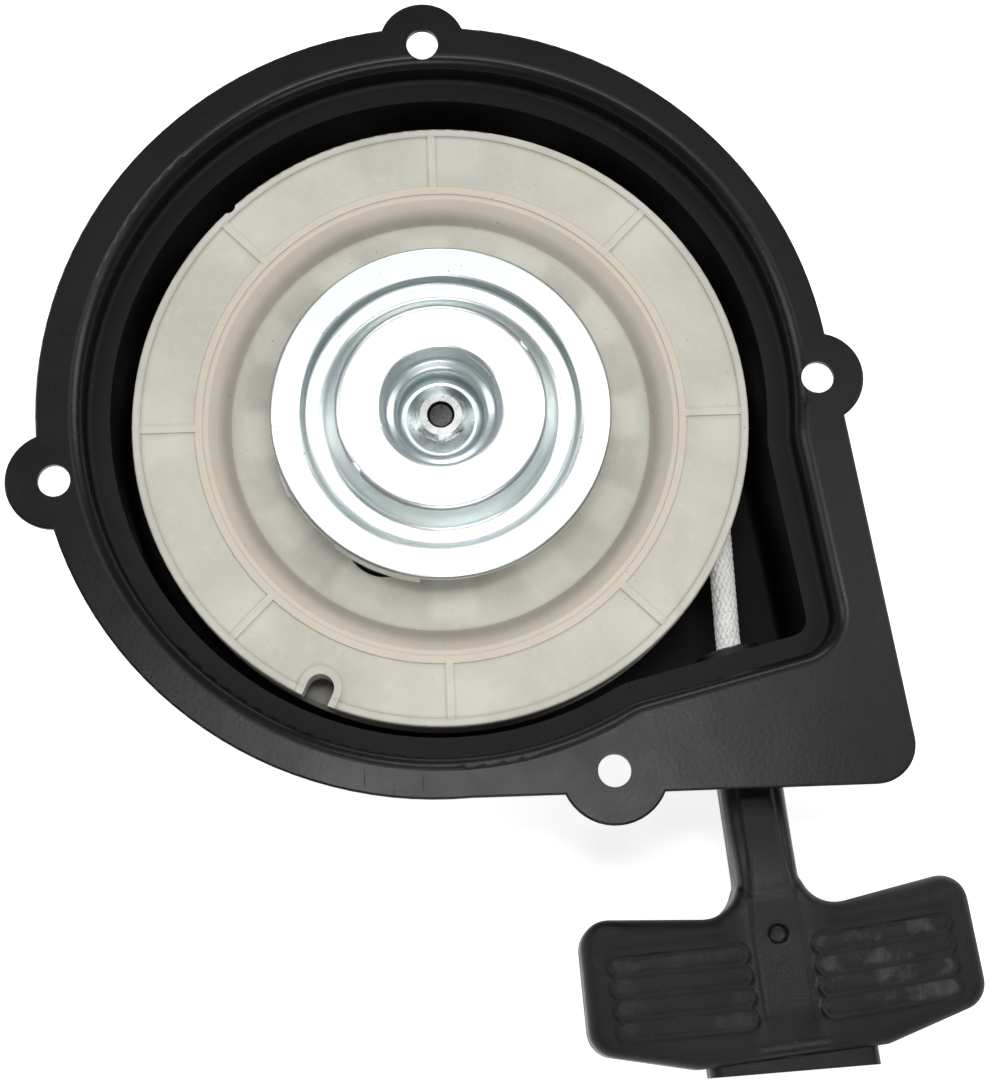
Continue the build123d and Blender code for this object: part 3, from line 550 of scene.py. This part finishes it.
def braided_rope(name, points, step):
    """Flat strands over and under each other, with small gaps, and the core that they lie on."""
    axes = moving_axes(points, UP)
    strand_r = ROPE_R - STRAND_HALF_THICKNESS - STRAND_WEAVE
    sides = 6

    def section(_, j):
        angle = 2 * math.pi * j / sides
        return STRAND_HALF_WIDTH * math.cos(angle), STRAND_HALF_THICKNESS * math.sin(angle)

    parts = []
    for hand in (-1, 1):
        for k in range(BRAID_STRANDS):
            centres, outwards = [], []
            for i, (point, (side, up)) in enumerate(zip(points, axes)):
                turn = BRAID_RATE * step * i
                angle = hand * turn + 2 * math.pi * k / BRAID_STRANDS
                radius = strand_r + hand * STRAND_WEAVE * math.cos(BRAID_STRANDS * turn)
                out = side * math.cos(angle) + up * math.sin(angle)
                centres.append(point + out * radius)
                outwards.append(out)
            strand_axes = []
            for i, out in enumerate(outwards):
                ahead = centres[min(i + 1, len(centres) - 1)] - centres[max(i - 1, 0)]
                strand_axes.append((ahead.normalized().cross(out).normalized(), out))
            parts.append(tube_mesh(centres, strand_axes, sides, section))
    core_sides = 16
    core = tube_mesh(points, axes, core_sides, round_section(strand_r - CORE_CLEARANCE, core_sides))
    return new_object(name, *joined(parts)), new_object(name + "_core", *core)


def build_rope():
    """The braided run to the guide, and the straight rope from past the guide out to the handle's
    swivel.
    """
    step = 0.30 * MM
    strands, core = braided_rope("rope_in_housing", run_line(step), step)
    dress(strands, STRAND)
    dress(core, CORE)
    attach(strands, "housing")
    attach(core, "housing")

    start, end = PULLED_START, SWIVEL_AT
    count = 60
    points = [AXIS_START + PULL * (start + (end - start) * i / count) for i in range(count + 1)]
    sides = 24
    tube = tube_mesh(points, moving_axes(points, UP), sides, round_section(ROPE_R, sides))
    pulled = new_object("rope_pulled", *tube)
    dress(pulled, PULLED_ROPE)
    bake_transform(pulled)
    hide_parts("rope_run")


def build_winding():
    """One plain turn and three of a flat spiral, which ends where the rope leaves the reel."""
    turns = 4
    pitch = 2 * ROPE_R
    count = 160 * turns
    sides = 14
    points, along = [], []
    total = 0.0
    for i in range(count + 1):
        back = 2 * math.pi * turns * (1 - i / count)
        radius = LAST_TURN_R - pitch * back / (2 * math.pi)
        radius = max(radius, LAST_TURN_R - pitch * (turns - 1))
        angle = TANGENT_ANGLE + back
        point = Vector((radius * math.cos(angle), radius * math.sin(angle), ROPE_Z))
        total += (point - points[-1]).length if points else 0.0
        points.append(point)
        along.append(total)
    section = round_section(ROPE_R - WOUND_CLEARANCE, sides)
    tube = tube_mesh(points, moving_axes(points, UP), sides, section)
    obj = new_object("wound_rope", *tube)
    lengths = obj.data.attributes.new("rope_along", "FLOAT", "POINT")
    angles = obj.data.attributes.new("rope_around", "FLOAT", "POINT")
    for i in range(count + 1):
        for j in range(sides):
            lengths.data[i * sides + j].value = along[i]
            angles.data[i * sides + j].value = 2 * math.pi * min(j, sides - j) / sides
    dress(obj, WOUND_ROPE)
    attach(obj, "reel")
    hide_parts("rope_winding")


# ---- springs ------------------------------------------------------------------------

SPRING_WIRE_R = 0.55 * MM
SPRING_LEG = 3.2 * MM
SPRING_LEG_RISE = 0.25 * MM


def build_pawl_spring(node, name, turned):
    """A torsion spring: a close coil whose upper end is bent in as a short leg."""
    low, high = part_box(node)
    centre = (low + high) / 2
    coil_r = (high.x - low.x) / 2 - SPRING_WIRE_R
    bottom, top = low.z + SPRING_WIRE_R, high.z - SPRING_WIRE_R
    turns, per_turn = 5, 40
    count = turns * per_turn
    points = []
    for i in range(count + 1):
        angle = 2 * math.pi * i / per_turn + (math.pi if turned else 0)
        height = bottom + (top - bottom) * i / count
        x, y = centre.x + coil_r * math.cos(angle), centre.y + coil_r * math.sin(angle)
        points.append(Vector((x, y, height)))
    inward = (Vector((centre.x, centre.y, top)) - points[-1]).normalized()
    last = points[-1]
    for i in range(1, 9):
        t = i / 8
        points.append(last + inward * SPRING_LEG * t + UP * SPRING_LEG_RISE * t)
    sides = 10
    section = round_section(SPRING_WIRE_R, sides)
    obj = new_object(name, *tube_mesh(points, moving_axes(points, UP), sides, section))
    dress(obj, SPRING_STEEL)
    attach(obj, "reel")
    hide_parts(node)


# ---- handle -------------------------------------------------------------------------

RIB_COUNT, RIB_PITCH, RIB_START = 4, 4.5, 61.5
RIB_HALF_LENGTH, RIB_HALF_WIDTH, RIB_CENTRE = 14.3, 1.80, 21.7
RIB_TILT = math.radians(2.2)
BAR_HALF_DEPTH = 9.5
NECK_START, NECK_END = 24.0, 53.0
NECK_HALF_WIDTH, STEM_HALF_DEPTH = 6.7, 6.0
NECK_RISE_END = NECK_END - 3
NECK_END_HALF_DEPTH = BAR_HALF_DEPTH - 0.2
NECK_SQUARENESS = 0.42
FLARE_START, FLARE_R = 46.2, 7.5
VOXEL = 0.38


def smooth_step(value, low, high):
    t = min(max((value - low) / (high - low), 0.0), 1.0)
    return t * t * (3 - 2 * t)


def rib_edge(s, u):
    """How far inside the nearest finger rib's outline a place is, in millimetres."""
    edges = []
    for i in range(RIB_COUNT):
        along, off = abs(u) - RIB_CENTRE, s - RIB_START - RIB_PITCH * i
        along, off = (along * math.cos(RIB_TILT) - off * math.sin(RIB_TILT),
                      along * math.sin(RIB_TILT) + off * math.cos(RIB_TILT))
        past_end = max(abs(along) - (RIB_HALF_LENGTH - RIB_HALF_WIDTH), 0.0)
        edges.append(RIB_HALF_WIDTH - math.hypot(past_end, off))
    return max(edges)


def rib_lift(s, u):
    """Height of the flat-topped ribs, with a fine groove round each."""
    edge = rib_edge(s, u)
    return 0.65 * smooth_step(edge, -0.15, 0.45) - 0.70 * math.exp(-(((edge + 0.35) / 0.42) ** 2))


def handle_lift(s, u, w):
    """How far the handle's faces stand out from its plain shape, in millimetres."""
    ridge_half = 3.0 + 1.7 * smooth_step(s, 40, 60)
    ridge = 1.0 - smooth_step(abs(u), ridge_half, ridge_half + 1.4)
    ridge *= smooth_step(s, 12, 17) * (1 - smooth_step(s, 74, 82))
    lift = 0.80 * ridge * (1 - 0.6 * smooth_step(s, 46, 62))
    shoulder = smooth_step(abs(u), 9, 15) * (1 - smooth_step(abs(u), 31, 39))
    lift -= 1.3 * shoulder * math.exp(-(((s - 56.4) / 3.0) ** 2))
    lift *= smooth_step(abs(w), 3.0, 5.6)
    return lift + rib_lift(s, u) * smooth_step(abs(w), 8.2, 9.0)


def neck_mesh():
    """A sleeve that carries the stem's depth smoothly into the bar's, in the handle's axes."""
    count, sides = 58, 48
    points, halves = [], []
    for i in range(count + 1):
        s = NECK_START + (NECK_END - NECK_START) * i / count
        points.append(Vector((0, -s * MM, 0)))
        past = max(s - FLARE_START, 0.0)
        width = NECK_HALF_WIDTH + FLARE_R - math.sqrt(FLARE_R ** 2 - past ** 2)
        rise = smooth_step(s, NECK_START, NECK_RISE_END)
        depth = STEM_HALF_DEPTH + (NECK_END_HALF_DEPTH - STEM_HALF_DEPTH) * rise
        halves.append((width, depth))

    def section(i, j):
        angle = 2 * math.pi * j / sides
        a, b = [math.copysign(abs(c) ** NECK_SQUARENESS, c) for c in (math.cos(angle), math.sin(angle))]
        return a * halves[i][0] * MM, b * halves[i][1] * MM

    return tube_mesh(points, moving_axes(points, UP), sides, section)


def build_handle():
    """The grip as one soft moulding, with a raised ridge down the stem and finger ribs."""
    along_handle = Matrix((ACROSS, -PULL, UP)).to_4x4()
    to_handle = along_handle @ Matrix.Translation(-AXIS_START)
    grip = frame["nodes"]["handle_grip"].data.copy()
    grip.transform(to_handle)
    depth = BAR_HALF_DEPTH * MM
    vertices = [Vector((v.co.x, v.co.y, min(max(v.co.z, -depth), depth))) for v in grip.vertices]
    faces = [tuple(face.vertices) for face in grip.polygons]
    obj = new_object("handle_body", *joined([(vertices, faces), neck_mesh()]))
    remesh = obj.modifiers.new("remesh", "REMESH")
    remesh.mode = "VOXEL"
    remesh.voxel_size = VOXEL * MM
    soften = obj.modifiers.new("soften", "SMOOTH")
    soften.factor = 0.5
    soften.iterations = 8
    bpy.context.view_layer.update()
    graph = bpy.context.evaluated_depsgraph_get()
    mesh = bpy.data.meshes.new_from_object(obj.evaluated_get(graph))
    obj.modifiers.clear()
    obj.data = mesh
    tops = mesh.attributes.new("rib_top", "FLOAT", "POINT")
    wings = mesh.attributes.new("wing", "FLOAT", "POINT")
    for vertex in mesh.vertices:
        u, s, w = vertex.co.x / MM, -vertex.co.y / MM, vertex.co.z / MM
        if abs(w) > 3.0:
            vertex.co.z += math.copysign(handle_lift(s, u, w) * MM, w)
            on_rib = smooth_step(rib_edge(s, u), 0.0, 0.5) * smooth_step(abs(w), 8.4, 9.2)
            tops.data[vertex.index].value = on_rib * (1.0 if u < 0 else 0.35)
            wings.data[vertex.index].value = smooth_step(abs(u), 6, 9) * smooth_step(s, 50, 56)
    mesh.transform(to_handle.inverted())
    mesh.shade_smooth()
    dress(obj, HANDLE_PLASTIC)
    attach(obj, "handle")
    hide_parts("handle_grip")


build_rope()
build_winding()
build_pawl_spring("pawl_spring_1", "pawl_torsion_spring_1", False)
build_pawl_spring("pawl_spring_2", "pawl_torsion_spring_2", True)
build_handle()


# ---- floor, light and camera --------------------------------------------------------

def build_floor():
    size = 6.0
    signs = ((-1, -1), (1, -1), (1, 1), (-1, 1))
    corners = [(x * size, y * size, FLOOR_Z) for x, y in signs]
    floor = new_object("floor", corners, [(0, 1, 2, 3)], smooth=False)
    floor.data.materials.append(floor_material())


def area_light(name, place, target, width, height, power):
    data = bpy.data.lights.new(name, "AREA")
    data.shape = "RECTANGLE"
    data.size, data.size_y = width, height
    data.energy = power
    light = bpy.data.objects.new(name, data)
    bpy.context.scene.collection.objects.link(light)
    light.location = place
    light.rotation_euler = (Vector(target) - Vector(place)).to_track_quat("-Z", "Y").to_euler()


def build_lights():
    area_light("overhead_softbox", (0.02, 0.16, 0.64), (0.02, 0.11, 0), 0.28, 0.29, 0.32)
    area_light("low_strip", (0.01, -0.01, 0.64), (0.01, -0.02, 0), 0.22, 0.08, 0.80)
    area_light("right_strip", (0.40, 0.14, 0.60), (0.05, 0.05, 0), 0.08, 0.36, 0.55)
    area_light("left_strip", (-0.44, 0.12, 0.60), (-0.05, 0.05, 0), 0.08, 0.36, 0.50)
    area_light("front_softbox", (0.20, -0.80, 0.75), (0, 0, 0), 0.7, 0.40, 3.2)
    area_light("left_softbox", (-0.80, 0.05, 0.62), (0, 0, 0), 0.20, 0.60, 1.3)
    area_light("right_softbox", (0.80, 0.25, 0.70), (0, 0, 0), 0.30, 0.6, 2.0)
    area_light("back_softbox", (-0.15, 0.85, 0.62), (0, 0, 0), 0.55, 0.24, 2.6)
    world = bpy.data.worlds.new("studio")
    world.use_nodes = True
    world.node_tree.nodes["Background"].inputs["Color"].default_value = rgb(0.90, 0.91, 0.90)
    world.node_tree.nodes["Background"].inputs["Strength"].default_value = 0.22
    bpy.context.scene.world = world


def build_camera():
    """Looks down from the handle's side, twelve degrees off square to the flange."""
    data = bpy.data.cameras.new("camera")
    data.sensor_width = 36.0
    data.lens = 86.6
    data.clip_start, data.clip_end = 0.01, 20
    camera = bpy.data.objects.new("camera", data)
    bpy.context.scene.collection.objects.link(camera)
    camera.location = (0.0021, -0.1440, 0.5420)
    ahead = Vector((0.0175, 0.2079, -0.9780)).normalized()
    up = Vector((0.0, 0.978, 0.2079))
    side = ahead.cross(up).normalized()
    up = side.cross(ahead).normalized()
    camera.rotation_mode = "QUATERNION"
    camera.rotation_quaternion = Matrix((side, up, -ahead)).transposed().to_quaternion()
    bpy.context.scene.camera = camera


build_floor()
build_lights()
build_camera()
bpy.context.scene.view_settings.view_transform = "Standard"
